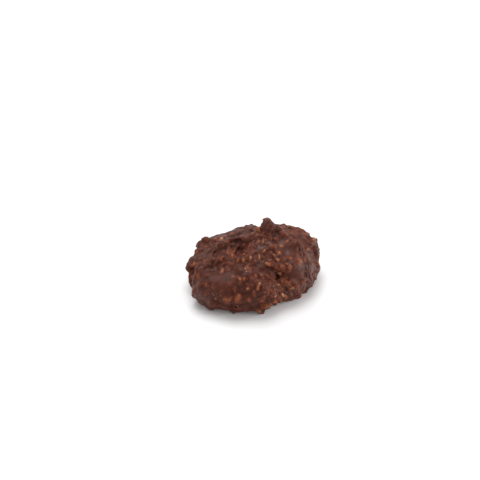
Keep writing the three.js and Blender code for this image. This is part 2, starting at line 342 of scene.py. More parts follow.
# The round lumps of many short shreds that it shows: pixel, width and stand in mm, and how bare.
SEEN_LUMPS = [
    (221.6, 245.2, 2.9, 1.8, 0.0), (246.4, 240, 2.6, 1.5, 0.2), (205.8, 241.2, 2.9, 0.6, 0.1),
    (275.4, 266.8, 1.4, 0.65, 0.5), (278.8, 268.4, 1.5, 0.7, 0.5), (282.4, 269.8, 1.5, 0.65, 0.5),
    (285.6, 270.8, 1.4, 0.6, 0.5), (233, 245.6, 1.5, 0.5, 0.1), (238.4, 246.6, 1.4, 0.4, 0.1),
    (228.6, 244.6, 1.4, 0.5, 0.15), (243.4, 246.4, 1.3, 0.5, 0.15), (235.4, 249.4, 1.2, 0.45, 0.2),
    (202.3, 246.2, 1.4, 0.6, 0.25), (202, 249.8, 1.3, 0.5, 0.2), (201.4, 259.4, 1.6, 0.7, 0.25),
    (267.2, 221.6, 2.7, 0.3, 0.15), (270.4, 226, 2.9, 0.3, 0.1), (265, 226, 2.7, 0.3, 0.1),
    (266.4, 231.6, 2.2, 0.3, 0.15), (268.4, 229.4, 3.6, 0.4, 0.1), (275, 229.4, 3.0, 0.3, 0.15),
    (279.6, 230.6, 2.2, 0.4, 0.15), (274.5, 227.4, 2.4, 0.3, 0.2), (283.2, 227.2, 2.0, 0.6, 0.3),
    (290.5, 228.6, 1.8, 0.4, 0.2), (283.2, 235.2, 2.8, 0.5, 0.25), (293.4, 236.2, 1.8, 0.5, 0.2),
    (276, 239.6, 1.4, 0.6, 0.4), (273.8, 247.8, 1.8, 0.6, 0.35), (299, 246, 2.4, 0.5, 0.15),
    (307.4, 251, 2.2, 0.5, 0.15), (315.4, 250.4, 2.2, 0.4, 0.3), (264.6, 251.2, 1.5, 0.6, 0.5),
    (253.4, 247.4, 1.8, 0.6, 0.2), (257.6, 252.2, 1.5, 0.5, 0.2), (291, 281.2, 1.8, 0.5, 0.35),
    (265.2, 287.4, 1.6, 0.5, 0.3), (262.4, 296.4, 2.0, 0.4, 0.15), (298.2, 296.6, 1.7, 0.5, 0.3),
    (305.4, 291.6, 1.5, 0.5, 0.3), (267.4, 305.8, 2.0, 0.4, 0.5), (317, 267, 1.6, 0.4, 0.3),
    (189.4, 268.6, 2.2, 0.5, 0.1), (238, 298.6, 2.4, 0.18, 0.5), (227.6, 299.4, 2.6, 0.16, 0.45),
    (252, 279.4, 1.7, 0.45, 0.2), (228, 271, 1.9, 0.3, 0.1), (240.6, 283.6, 1.6, 0.3, 0.2),
    (279, 290.4, 1.6, 0.4, 0.3), (271.6, 292.4, 1.5, 0.4, 0.2), (296.4, 286.2, 1.6, 0.5, 0.4),
    (232.5, 236.2, 1.7, 0.4, 0.1), (240.4, 232.6, 1.8, 0.4, 0.25), (251.4, 229.8, 1.6, 0.4, 0.2),
    (215.4, 240.6, 1.6, 0.5, 0.2), (211.6, 246.6, 1.5, 0.5, 0.25), (207.4, 276.5, 1.6, 0.2, 0.15),
    (199.8, 285.4, 1.5, 0.3, 0.2), (205.8, 293.6, 1.6, 0.3, 0.3), (215, 303.4, 1.8, 0.3, 0.25),
]
LUMP_TURNS = 6
LUMP_LENGTH = (0.75, 0.9)
LUMP_DEPTH = (0.9, 1.0)
LUMP_TWIST = 1
LUMP_ROUGH = 0.05
# Where the coat ran together and lies smooth: pixel, and how far around it and how deep in mm.
SEEN_POOLS = [
    (219, 284, 10.0, 0.2), (208.5, 255, 4.4, 0.3), (286.5, 251, 3.8, 0.3), (297, 270, 4.4, 0.3),
    (238, 269, 3.4, 0.3), (247, 305, 5.5, 0.2), (199, 303, 4.0, 0.1), (193, 292, 3.5, 0.1),
    (235, 243, 2.4, 0.1), (312, 266, 4.0, 0.15), (196, 285, 4.0, 0.15), (212, 308, 4.0, 0.1),
    (227, 311, 4.0, 0.1),
]
# Smooth places at the back and the sides, which the photograph doesn't show: place, reach and depth in mm.
UNSEEN_POOLS = [
    (-9, 15, 9, 5.0, 0.25), (10, 16, 6, 3.8, 0.25), (2, 13, 14, 3.0, 0.2), (19, 4, 7, 3.4, 0.2),
    (-19, 4, 5, 3.0, 0.2), (16, 11, 11, 2.6, 0.2), (-3, 17, 4, 2.8, 0.2),
]
POOL_EDGE = 0.06 * MM
POOL_SINK = 0.42
POOL_GAP = (1.4, 2.2)
POOL_TILT = 0.3
# The shreds strewn over all the rest: their gaps, sizes and stand in mm.
STREWN_SEED = 7
STREWN_TRIES = 20000
STREWN_GAP = (0.9, 1.5)
STREWN_LENGTH = (1.6, 3.4)
STREWN_CHIPS = 0.68
CHIP_LENGTH = (0.9, 1.7)
STREWN_WIDTH = (0.65, 1.5)
STREWN_FLATNESS = (0.6, 0.95)
STREWN_STAND = (-0.35, 0.36)
STREWN_TILT = 0.1
STREWN_TWIST = 1.2
STREWN_ROUGH = 0.1
STREWN_BARENESS = (-0.5, 0.75)
DOWNHILL_PULL = 0.9
NEAR_SEEN = 1.3 * MM
FOOT_HEIGHT = 1.8 * MM
FOOT_SINK = 0.2


def from_lowest(corners):
    """A face's corners in the same turn, from the lowest number on."""
    first = corners.index(min(corners))
    return corners[first:] + corners[:first]


bpy.ops.object.select_all(action="DESELECT")
bpy.ops.mesh.primitive_circle_add(
    vertices=SHRED_SIDES,
    radius=0.5 * SHRED_START,
    fill_type="NGON",
    location=(-0.5, 0, 0),
    rotation=(0, math.pi / 2, 0),
)
shred_model = bpy.context.object
bpy.ops.object.transform_apply(location=True, rotation=True, scale=True)
bpy.ops.object.mode_set(mode="EDIT")
bpy.ops.mesh.select_all(action="SELECT")
shred_reach = -0.5
for step, widening in SHRED_STEPS:
    shred_reach += step
    bpy.ops.mesh.extrude_region_move(TRANSFORM_OT_translate={"value": (step, 0, 0)})
    bpy.ops.transform.resize(value=(1, widening, widening), center_override=(shred_reach, 0, 0))
bpy.ops.mesh.select_all(action="SELECT")
bpy.ops.mesh.normals_make_consistent(inside=False)
bpy.ops.object.mode_set(mode="OBJECT")
shred_points = points_of(shred_model.data)
# Extruding leaves the faces in no fixed order, so they are sorted.
shred_faces = sorted(from_lowest(list(face.vertices)) for face in shred_model.data.polygons)
# How much of a strip's bareness each of its faces shows: all of it at the far end.
shred_bareness = [
    SHRED_COVERED + (1 - SHRED_COVERED) * (0.5 + shred_points[face, 0].mean()) for face in shred_faces
]
bpy.data.objects.remove(shred_model)


def any_way(chance):
    """A direction that may point anywhere."""
    return Vector((chance.gauss(0, 1), chance.gauss(0, 1), chance.gauss(0, 1)))


def laid_shred(middle, along, out, size, rough, chance, arch=0, twist=0):
    """The points of one copy of the strip: its middle in metres, its size and arch in mm."""
    length, width, thickness = size
    along = along.normalized()
    side = out.cross(along).normalized()
    lift = along.cross(side)
    x = shred_points[:, 0]
    turn = twist * x
    across = shred_points[:, 1] * np.cos(turn) - shred_points[:, 2] * np.sin(turn)
    high = shred_points[:, 1] * np.sin(turn) + shred_points[:, 2] * np.cos(turn)
    copy = (
        np.array(middle)
        + np.outer(x * length, along) * MM
        + np.outer(across * width, side) * MM
        + np.outer(high * thickness + arch * (1 - 4 * x * x), lift) * MM
    )
    return copy + np.array([[chance.gauss(0, rough * width * MM) for _ in range(3)] for _ in copy])


def laid_over(tree, start, end, out, width, depth, stand, rough, chance, twist=0):
    """One copy of the strip laid over a skin between two places on it, arched as the skin is."""
    chord = (start + end) / 2
    crown, _, _, _ = tree.find_nearest(chord)
    arch = max(0, (crown - chord).dot(out)) / MM
    middle = chord + out * (stand - depth / 2) * MM
    length = (end - start).length / MM + width * 0.5
    return laid_shred(middle, end - start, out, (length, width, depth), rough, chance, arch, twist)


def joined(name, copies):
    """One mesh object of many copies of the strip."""
    faces = []
    for number in range(len(copies)):
        start = number * len(shred_points)
        faces += [[start + corner for corner in face] for face in shred_faces]
    mesh = bpy.data.meshes.new(name)
    mesh.from_pydata(np.concatenate(copies).tolist(), [], faces)
    piece = bpy.data.objects.new(name, mesh)
    bpy.context.collection.objects.link(piece)
    return piece


def crowded(place, others, gap):
    """Whether a place is nearer than the gap to one of the others."""
    return len(others) > 0 and np.linalg.norm(others - np.array(place), axis=1).min() < gap


rng = random.Random(STREWN_SEED)
seen_copies = []
seen_bareness = []
for start_pixel, end_pixel, width, stand, bareness in SEEN_SHREDS:
    start, start_out = seen_at(mound_tree, *start_pixel)
    end, end_out = seen_at(mound_tree, *end_pixel)
    out = (start_out + end_out).normalized()
    core = max(width - 2 * COAT, LEAST_CORE)
    stand += MOUND_LEAN / MM - COAT
    copy = laid_over(mound_tree, start, end, out, core, core * SHRED_DEPTH, stand, SEEN_ROUGH, rng)
    seen_copies.append(copy)
    seen_bareness.append(bareness * SEEN_BARENESS)
for x, y, across, stand, bareness in SEEN_LUMPS:
    place, out = seen_at(mound_tree, x, y)
    core = across - 2 * COAT
    middle = shown_at(place + out * (MOUND_LEAN + (stand - core / 2) * MM), x, y)
    for _ in range(LUMP_TURNS):
        along = any_way(rng)
        size = (core * rng.uniform(*LUMP_LENGTH), core, core * rng.uniform(*LUMP_DEPTH))
        twist = rng.uniform(-LUMP_TWIST, LUMP_TWIST)
        seen_copies.append(laid_shred(middle, along, out, size, LUMP_ROUGH, rng, twist=twist))
        seen_bareness.append(bareness)

unseen_places = [
    (np.array(mound_tree.find_nearest(Vector((x, y, z)) * MM)[0]), reach * MM, depth * MM)
    for x, y, z, reach, depth in UNSEEN_POOLS
]
pools = seen_places_of(SEEN_POOLS) + unseen_places
seen_corners = KDTree(len(seen_copies) * len(shred_points))
for number, copy in enumerate(seen_copies):
    for corner in copy:
        seen_corners.insert(corner, number)
seen_corners.balance()

areas = [face.area for face in mound.data.polygons]
pool_depths = swelling(np.array([face.center for face in mound.data.polygons]), pools)
strewn_copies = []
strewn_bareness = []
strewn_at = np.empty((0, 3))
for number in rng.choices(range(len(areas)), weights=areas, k=STREWN_TRIES):
    face = mound.data.polygons[number]
    place = Vector(face.center)
    at_foot = place.z < FOOT_HEIGHT
    smooth = pool_depths[number] > POOL_EDGE or at_foot
    if crowded(place, strewn_at, rng.uniform(*(POOL_GAP if smooth else STREWN_GAP)) * MM):
        continue
    strewn_at = np.vstack([strewn_at, np.array(place)])
    length = rng.uniform(*(CHIP_LENGTH if rng.random() < STREWN_CHIPS else STREWN_LENGTH))
    width = rng.uniform(*STREWN_WIDTH)
    depth = width * rng.uniform(*STREWN_FLATNESS)
    stand = MOUND_LEAN / MM + rng.uniform(*STREWN_STAND) - (POOL_SINK if smooth else 0)
    if seen_corners.find(place)[2] < NEAR_SEEN:
        stand -= POOL_SINK
    elif at_foot:
        stand -= FOOT_SINK
    across = any_way(rng)
    across.z += DOWNHILL_PULL * math.copysign(1, across.z)
    along = (across - face.normal * across.dot(face.normal)).normalized()
    start = mound_tree.find_nearest(place - along * length / 2 * MM)[0]
    end = mound_tree.find_nearest(place + along * length / 2 * MM)[0]
    end += face.normal * rng.gauss(0, STREWN_TILT) * length * MM * (POOL_TILT if smooth else 1)
    twist = rng.uniform(-STREWN_TWIST, STREWN_TWIST)
    copy = laid_over(mound_tree, start, end, face.normal, width, depth, stand, STREWN_ROUGH, rng, twist)
    strewn_copies.append(copy)
    strewn_bareness.append(max(0, rng.uniform(*STREWN_BARENESS)))


# Chocolate
# Melted chocolate that wets the mound and its shreds, fills the gaps between them and sets with a satin skin.
# Mound and shreds become one skin, which is grown and shrunk back to fill its gaps and melts a little.
COAT_VOXEL = 0.15 * MM
COAT_STEP = COAT * MM
COAT_OUT = 3
COAT_IN = 2
COAT_MELT = 2
COAT_FOOT = 0.9 * MM
COAT_SETTLE = 60
BUMPS = [(1.3 * MM, 0.12 * MM), (0.5 * MM, 0.05 * MM)]
TRIANGLES_MOST = 190000
FLAT_BELOW = 0.1 * MM
# Runs of chocolate that set as ridges: the pixels that each runs through, and its width in mm.
SEEN_DRIPS = [
    ([(305.3, 264), (306.6, 272), (308.2, 279), (309.8, 285.5)], 0.6),
    ([(308.2, 268.6), (309.6, 274.5), (311.4, 280), (312, 284)], 0.5),
    ([(306.4, 276), (307.6, 282), (308.8, 289)], 0.5),
    ([(314.2, 268), (314.6, 275), (313.4, 282)], 0.5),
    ([(299, 243), (301, 250), (301.6, 256)], 0.6),
    ([(214.6, 249.6), (210.6, 256), (207, 262), (203.4, 268), (202, 272)], 0.6),
    ([(209.4, 249), (205.6, 255), (203, 261)], 0.7),
    ([(212.6, 254.6), (209, 261), (205.6, 268)], 0.5),
]
DRIP_STAND = 0.34
DRIP_ROUGH = 0.03
DRIP_BARENESS = 0.05
# Dust and small bits of coconut under the coat, in drifts: sizes and distances in mm.
GRIT_SEED = 5
GRIT_TRIES = 16000
GRIT_GAP = 0.62
GRIT_SIZE = (0.35, 0.85)
GRIT_LENGTH = (1.0, 1.8)
GRIT_STAND = (0.0, 0.24)
GRIT_ROUGH = 0.08
GRIT_BARENESS = (-0.6, 0.6)
GRIT_LOWEST = 0.3 * MM
DRIFT_SIZE = 3.0 * MM
DRIFT_SHARE = 0.02
DRIFT_IN_POOLS = 0.45
# Holes where air bubbles broke: pixel, radius and depth in mm.
SEEN_PITS = [
    (235.6, 307.6, 0.5, 0.9), (286, 290, 0.34, 0.45), (288.6, 292.4, 0.36, 0.5),
    (291, 290.4, 0.28, 0.4), (287.4, 294.6, 0.26, 0.35), (292.4, 293.6, 0.28, 0.35),
    (284.4, 292.8, 0.26, 0.3), (303, 289.6, 0.3, 0.4), (199, 294, 0.26, 0.3),
    (219, 298.5, 0.28, 0.3), (283.5, 299.5, 0.36, 0.4), (297, 292, 0.3, 0.3),
]
# Where the coat is thin over a shred below it and shows it: pixel, reach in mm, strength.
SEEN_PATCHES = [
    (227, 299.8, 1.2, 0.22), (237, 298.6, 1.3, 0.22), (249, 299.6, 0.9, 0.25),
    (235, 289.6, 0.9, 0.25), (230, 283.6, 1.0, 0.2), (199.3, 277.4, 0.8, 0.25),
    (207, 292.6, 1.0, 0.2), (218.5, 304.6, 1.0, 0.2), (283, 282, 1.5, 0.3),
    (287.4, 283.6, 1.2, 0.3), (283.2, 235.2, 1.4, 0.22), (213, 286, 0.9, 0.2), (223, 291, 0.8, 0.2),
    (204, 284, 0.8, 0.2),
]
# Where the skin set glossier: pixel, reach in mm, strength.
SEEN_GLOSS = [
    (267.3, 220.5, 2.6, 0.4), (309, 264, 7.0, 0.2), (314, 246, 3.8, 0.2), (306, 284, 3.8, 0.28),
    (284, 249, 3.4, 0.3), (266.5, 244, 2.6, 0.3), (206.7, 255, 2.8, 0.3), (221, 242, 2.2, 0.35),
    (240, 231, 5.0, 0.12), (300, 234, 3.6, 0.15), (256, 247, 3.6, 0.18), (297, 270, 4.4, 0.1),
    (203, 299, 4.6, 0.26), (290, 291, 3.0, 0.3), (311, 273, 3.2, 0.34),
]
UNSEEN_GLOSS = 0.25
LEAST_GLOSS = 0.03
EDGE_WAVES = 0.8 * MM
EDGE_WANDER = 0.7 * MM
SHOWS_THROUGH = 0.2
CALM_MELT = 30
STILL_MELT = 90
# Browns by how far in mm the skin stands out, and where the coat is worn: the hollows are darkened as painted
# shade, and the crests are lightened, partly as a painted highlight and partly as the thinner coat there.
PAINTED_SHADE_AND_HIGHLIGHT_BROWNS = [
    (0.0, (0.037, 0.0105, 0.0067, 1)),
    (0.07, (0.078, 0.0226, 0.0147, 1)),
    (0.2, (0.165, 0.0455, 0.0265, 1)),
]
REDDISH = (0.168, 0.0448, 0.0222, 1)
REDDISH_WHERE_WORN = (0.02, 0.3)
GOLDEN = (0.265, 0.078, 0.029, 1)
GOLDEN_WHERE_WORN = (0.25, 0.7)
PATCH_SCALE = 260
PATCH_DETAIL = 3
PATCH_BROWNING = 0.12
MOTTLE_SCALE = 1500
MOTTLE_DETAIL = 2
MOTTLE = (0.45, 1.25)
MOST_OF_NOISE = (0.3, 0.7)
SATIN_ROUGHNESS = (0.34, 0.52)
SATIN_SPECULAR = 0.08
GLOSS_ROUGHNESS = 0.35
GRAIN_SCALE = 3200
GRAIN_DETAIL = 3
GRAIN_STRENGTH = 0.35
GRAIN_HEIGHT = 0.06 * MM


def take_in(piece, copies):
    """Joins copies of the strip to a piece."""
    more = joined("more", copies)
    select_only(piece)
    more.select_set(True)
    bpy.ops.object.join()


def cut_at_tray(piece):
    """Cuts a piece off at the tray and closes the cut."""
    select_only(piece)
    bpy.ops.object.mode_set(mode="EDIT")
    bpy.ops.mesh.select_all(action="SELECT")
    bpy.ops.mesh.bisect(plane_co=(0, 0, 0), plane_no=(0, 0, 1), use_fill=True, clear_inner=True)
    bpy.ops.object.mode_set(mode="OBJECT")


def keep_skin(piece):
    """Deletes what is closed off inside a skin, such as the rest of an air bubble."""
    top = int(points_of(piece.data)[:, 2].argmax())
    select_only(piece)
    bpy.ops.object.mode_set(mode="EDIT")
    bpy.ops.mesh.select_all(action="DESELECT")
    bpy.ops.object.mode_set(mode="OBJECT")
    piece.data.vertices[top].select = True
    bpy.ops.object.mode_set(mode="EDIT")
    bpy.ops.mesh.select_linked()
    bpy.ops.mesh.select_all(action="INVERT")
    bpy.ops.mesh.delete(type="VERT")
    bpy.ops.object.mode_set(mode="OBJECT")


def wavering(points, size, amount):
    """The points shifted by a noise, so that what is laid round a place gets an uneven edge."""
    return points + np.array([noise.noise_vector(Vector(point) / size) for point in points]) * amount


def paint(piece, name, values):
    """Stores one number for each point of a piece, for its material to read."""
    layer = piece.data.attributes.new(name, "FLOAT", "POINT")
    layer.data.foreach_set("value", np.asarray(values, dtype=np.float32))


def painted(material, name):
    """The numbers that were painted on a piece under a name."""
    layer = material.node_tree.nodes.new("ShaderNodeAttribute")
    layer.attribute_name = name
    return layer.outputs["Fac"]


def material_of(name):
    """A new material with its shader."""
    material = bpy.data.materials.new(name)
    material.use_nodes = True
    return material


def give(material, socket, value):
    """Sets a socket of the shader, or links it to what another node gives."""
    socket = material.node_tree.nodes["Principled BSDF"].inputs[socket]
    if isinstance(value, bpy.types.NodeSocket):
        material.node_tree.links.new(value, socket)
    else:
        socket.default_value = value


def speckles(material, scale, detail):
    """A noise that lies fixed in the piece."""
    where = material.node_tree.nodes.new("ShaderNodeTexCoord")
    grains = material.node_tree.nodes.new("ShaderNodeTexNoise")
    grains.inputs["Scale"].default_value = scale
    grains.inputs["Detail"].default_value = detail
    material.node_tree.links.new(where.outputs["Object"], grains.inputs["Vector"])
    return grains.outputs["Fac"]


def stretched(material, value, source, target=(0, 1)):
    """A value whose range, the source, is stretched to the target and held at its ends."""
    stretch = material.node_tree.nodes.new("ShaderNodeMapRange")
    for name, number in zip(("From Min", "From Max", "To Min", "To Max"), source + target):
        stretch.inputs[name].default_value = number
    material.node_tree.links.new(value, stretch.inputs["Value"])
    return stretch.outputs["Result"]


def worked_out(material, operation, *terms):
    """One step of arithmetic with numbers and with what other nodes give."""
    step = material.node_tree.nodes.new("ShaderNodeMath")
    step.operation = operation
    for term, socket in zip(terms, step.inputs):
        if isinstance(term, bpy.types.NodeSocket):
            material.node_tree.links.new(term, socket)
        else:
            socket.default_value = term
    return step.outputs["Value"]


def coloured(material, value, stops):
    """The colours that a value runs through, each given with the value it stands at."""
    ramp = material.node_tree.nodes.new("ShaderNodeValToRGB")
    colours = ramp.color_ramp.elements
    colours.remove(colours[1])
    colours[0].position, colours[0].color = stops[0]
    for position, colour in stops[1:]:
        colours.new(position).color = colour
    material.node_tree.links.new(value, ramp.inputs["Fac"])
    return ramp.outputs["Color"]


def tinted(material, amount, under, colour):
    """A colour laid over what is under it, as strongly as the amount says."""
    mix = material.node_tree.nodes.new("ShaderNodeMix")
    mix.data_type = "RGBA"
    mix.inputs["B"].default_value = colour
    material.node_tree.links.new(amount, mix.inputs["Factor"])
    material.node_tree.links.new(under, mix.inputs["A"])
    return mix.outputs["Result"]


def roughened(material, height, strength, distance):
    """The normals of a skin with fine bumps."""
    bump = material.node_tree.nodes.new("ShaderNodeBump")
    bump.inputs["Strength"].default_value = strength
    bump.inputs["Distance"].default_value = distance
    material.node_tree.links.new(height, bump.inputs["Height"])
    return bump.outputs["Normal"]


push_out(mound, pools)
mass = mound
mass.name = "chocolate_mass"
take_in(mass, seen_copies + strewn_copies)
remesh(mass, COAT_VOXEL)
for _ in range(COAT_OUT):
    grow(mass, COAT_STEP)
    remesh(mass, COAT_VOXEL)
    melt(mass, 1)
for _ in range(COAT_IN):
    grow(mass, -COAT_STEP)
    remesh(mass, COAT_VOXEL)
settle(mass, COAT_FOOT, COAT_SETTLE)

skin_tree = tree_of(mass.data)
rng = random.Random(GRIT_SEED)
skin_copies = []
skin_bareness = []
for pixels, width in SEEN_DRIPS:
    spots = [seen_at(skin_tree, x, y) for x, y in pixels]
    for (start, start_out), (end, end_out) in zip(spots, spots[1:]):
        out = (start_out + end_out).normalized()
        skin_copies.append(laid_over(skin_tree, start, end, out, width, width, DRIP_STAND, DRIP_ROUGH, rng))
        skin_bareness.append(DRIP_BARENESS)
grit_at = np.empty((0, 3))
for number in rng.choices(range(len(mass.data.polygons)), k=GRIT_TRIES):
    face = mass.data.polygons[number]
    place = Vector(face.center)
    in_pool = swelling(np.array([place]), pools)[0] > POOL_EDGE
    drift = noise.noise(place / DRIFT_SIZE) + (DRIFT_IN_POOLS if in_pool else 0)
    if drift > DRIFT_SHARE or place.z < GRIT_LOWEST or crowded(place, grit_at, GRIT_GAP * MM):
        continue
    grit_at = np.vstack([grit_at, np.array(place)])
    size = rng.uniform(*GRIT_SIZE)
    across = any_way(rng)
    middle = place + face.normal * (rng.uniform(*GRIT_STAND) - size / 2) * MM
    sizes = (size * rng.uniform(*GRIT_LENGTH), size, size)
    skin_copies.append(laid_shred(middle, across.cross(face.normal), face.normal, sizes, GRIT_ROUGH, rng))
    skin_bareness.append(max(0, rng.uniform(*GRIT_BARENESS)))
take_in(mass, skin_copies)
remesh(mass, COAT_VOXEL)
melt(mass, 1)
for size, height in BUMPS:
    bumps = bpy.data.textures.new("bumps", "CLOUDS")
    bumps.noise_scale = size
    finish_with(mass, "DISPLACE", texture=bumps, texture_coords="LOCAL", strength=height, mid_level=0.5)
melt(mass, COAT_MELT)
cut_at_tray(mass)
remesh(mass, COAT_VOXEL)
melt(mass, 1)

mass_tree = tree_of(mass.data)
points = points_of(mass.data)
for x, y, radius, depth in SEEN_PITS:
    place, facing = seen_at(mass_tree, x, y)
    nearness = np.clip(1 - np.linalg.norm(points - np.array(place), axis=1) / (radius * MM), 0, 1)
    points -= np.outer(np.sqrt(nearness) * depth * MM, np.array(facing))
put_points(mass, points)
mass.data.calc_loop_triangles()
finish_with(mass, "DECIMATE", ratio=min(1, TRIANGLES_MOST / len(mass.data.loop_triangles)))
keep_skin(mass)
points = points_of(mass.data)
points[:, 2] = np.where(points[:, 2] < FLAT_BELOW, 0, points[:, 2])
put_points(mass, points)
select_only(mass)
bpy.ops.object.shade_smooth()

# The coat is thin where the finished skin lies close over a shred, or where it cuts into one.
coat_at = np.empty(len(points))
bare_at = np.zeros(len(points))
bareness = seen_bareness + strewn_bareness + skin_bareness
coconut = joined("coconut", seen_copies + strewn_copies + skin_copies)
coconut_tree = tree_of(coconut.data)
bpy.data.objects.remove(coconut)
for number, point in enumerate(points):
    place, facing, face, distance = coconut_tree.find_nearest(Vector(point))
    inside = (Vector(point) - place).dot(facing) < 0
    coat_at[number] = -distance if inside else distance
    bare_at[number] = bareness[face // len(shred_faces)] * shred_bareness[face % len(shred_faces)]
thin = np.clip((SHOWS_THROUGH - coat_at / MM) / SHOWS_THROUGH, 0, 1)

# A point's crest is how far it stands out from the same skin melted calm, less what the melting alone sinks.
calm = bpy.data.objects.new("calm_skin", mass.data.copy())
bpy.context.collection.objects.link(calm)
melt(calm, CALM_MELT)
calm_points = points_of(calm.data)
calm_normals = normals_of(calm.data)
melt(calm, STILL_MELT)
sinking = ((calm_points - points_of(calm.data)) * calm_normals).sum(axis=1) * CALM_MELT / STILL_MELT
crest_at = ((points - calm_points) * calm_normals).sum(axis=1) - sinking
bpy.data.objects.remove(calm)

uneven_points = wavering(points, EDGE_WAVES, EDGE_WANDER)
patchy = swelling(uneven_points, seen_places_of(SEEN_PATCHES)) / MM
unseen_gloss = [(place, reach, UNSEEN_GLOSS * MM) for place, reach, _ in unseen_places]
glossy = swelling(uneven_points, seen_places_of(SEEN_GLOSS) + unseen_gloss) / MM
# The crest sets the painted shade in the hollows and the painted highlight on the crests.
paint(mass, "crest", crest_at / MM)
paint(mass, "gloss", np.maximum(glossy, LEAST_GLOSS))

chocolate = material_of("tempered_chocolate")
patches = speckles(chocolate, PATCH_SCALE, PATCH_DETAIL)
mottle = stretched(chocolate, speckles(chocolate, MOTTLE_SCALE, MOTTLE_DETAIL), MOST_OF_NOISE, MOTTLE)
grain = speckles(chocolate, GRAIN_SCALE, GRAIN_DETAIL)
stands_out = worked_out(chocolate, "MULTIPLY_ADD", patches, PATCH_BROWNING, painted(chocolate, "crest"))
worn = worked_out(chocolate, "MULTIPLY", painted(chocolate, "thin"), mottle)
# Painted shade and highlight: the brown darkens into the hollows and lightens onto the crests.
brown_with_painted_shade = coloured(chocolate, stands_out, PAINTED_SHADE_AND_HIGHLIGHT_BROWNS)
reddened = tinted(chocolate, stretched(chocolate, worn, REDDISH_WHERE_WORN), brown_with_painted_shade, REDDISH)
gilded = tinted(chocolate, stretched(chocolate, worn, GOLDEN_WHERE_WORN), reddened, GOLDEN)
give(chocolate, "Base Color", gilded)
give(chocolate, "Roughness", stretched(chocolate, patches, MOST_OF_NOISE, SATIN_ROUGHNESS))
give(chocolate, "Specular IOR Level", SATIN_SPECULAR)
give(chocolate, "Coat Weight", painted(chocolate, "gloss"))
give(chocolate, "Coat Roughness", GLOSS_ROUGHNESS)
give(chocolate, "Normal", roughened(chocolate, grain, GRAIN_STRENGTH, GRAIN_HEIGHT))
mass.data.materials.clear()
mass.data.materials.append(chocolate)
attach(mass, "root")
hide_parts("coconut_cluster")


# Bare coconut
# The toasted shreds stick through the chocolate at their ends, gold to ivory where the coat has run off them.
# Each bare end is a short copy of the strip, set into the finished skin.
END_WIDER = 1.15
END_DEPTH = 0.8
END_SUNK = 0.22
END_TILT = (0.0, 0.35)
END_TWIST = 0.6
END_ROUGH = 0.11
# The ends that the photograph shows: pixel, length and width in mm, turn in degrees, and paleness.
SEEN_ENDS = [
    (258.4, 230.4, 2.1, 1.0, 10, 0.4), (267.6, 263.8, 1.5, 0.8, -22, 0.45),
    (290, 267.5, 1.0, 0.5, 75, 0.3), (222, 270.8, 1.5, 0.6, 80, 0.65),
    (283, 295, 1.3, 0.8, -42, 0.8), (314, 239.2, 1.2, 0.8, 60, 0.85),
    (275, 301.8, 1.3, 0.7, 48, 0.8), (266.8, 306, 1.8, 1.2, 10, 0.35),
    (232.8, 255.6, 1.4, 0.5, 58, 0.3), (238.3, 261, 1.1, 0.55, 80, 0.35),
    (243.6, 260.5, 1.2, 0.6, 78, 0.45), (250.5, 258.6, 1.3, 0.55, 86, 0.75),
    (194, 264.8, 1.7, 0.5, 25, 0.25), (221, 238.7, 1.4, 0.65, 2, 1.0),
    (215.8, 238.9, 0.9, 0.4, 0, 0.6), (227.3, 241.4, 1.4, 0.45, 40, 0.4),
    (279.2, 273.2, 0.9, 0.6, 10, 0.7), (259.6, 283.6, 0.9, 0.4, 60, 0.75),
    (258, 287.6, 1.1, 0.4, 80, 0.5), (278.6, 284.7, 0.5, 0.4, 0, 0.9),
    (292.6, 288, 1.3, 0.5, 10, 0.6), (286.5, 242.2, 1.0, 0.5, 20, 0.35),
    (298.2, 229.9, 1.3, 0.45, -10, 0.5), (277.2, 259.6, 1.0, 0.5, -30, 0.7),
    (299.2, 259.5, 1.2, 0.6, -50, 0.5), (300.4, 262, 0.7, 0.4, 0, 0.9),
    (264.4, 251, 1.0, 0.6, 60, 0.6), (258.2, 243, 0.9, 0.4, 45, 0.5),
    (263, 242.4, 1.1, 0.3, 75, 0.6), (259.4, 258, 1.9, 0.25, 88, 0.9),
    (281.8, 246.4, 0.9, 0.4, 0, 0.6), (290.8, 232.8, 1.0, 0.5, -30, 0.5),
    (304.4, 233.6, 1.1, 0.5, -30, 0.45), (239.8, 279, 0.9, 0.5, -32, 0.5),
    (244, 278.7, 0.7, 0.4, 30, 0.4), (232.8, 276.4, 0.6, 0.35, 0, 0.4),
    (247.7, 288.7, 0.6, 0.35, 0, 0.8), (304.5, 289.3, 0.6, 0.35, 0, 0.85),
    (275.4, 296.3, 0.8, 0.35, 20, 0.8), (286.2, 301.4, 1.0, 0.35, 10, 0.7),
    (239.5, 313.4, 0.9, 0.4, 0, 0.5), (259.4, 311.4, 1.2, 0.45, -62, 0.5),
    (206, 246.4, 0.7, 0.35, 0, 0.5), (282, 288.5, 0.5, 0.3, 0, 0.85),
    (226.9, 299.9, 2.3, 0.9, 4, 0.14), (237.8, 298.2, 2.4, 1.0, 68, 0.06),
    (236.2, 301.6, 0.9, 0.5, 20, 0.35), (244.3, 244.4, 0.6, 0.35, 0, 0.8),
    (256, 276.3, 0.6, 0.3, 70, 0.45), (248.7, 300, 0.9, 0.4, 80, 0.3),
]
# The ends strewn over the rest, where a bare shred comes near the top of the skin: sizes in mm.
ENDS_SEED = 22
STREWN_ENDS = 70
END_LENGTH = (0.55, 1.2)
END_WIDTH = (0.45, 0.8)
END_PALENESS = 0.75
END_APART = 2.6 * MM
END_LOWEST = 0.5 * MM
BARE_ENOUGH = 0.3
# The coat thins round each end.
HALO = 0.5 * MM
HALO_STRENGTH = 0.34
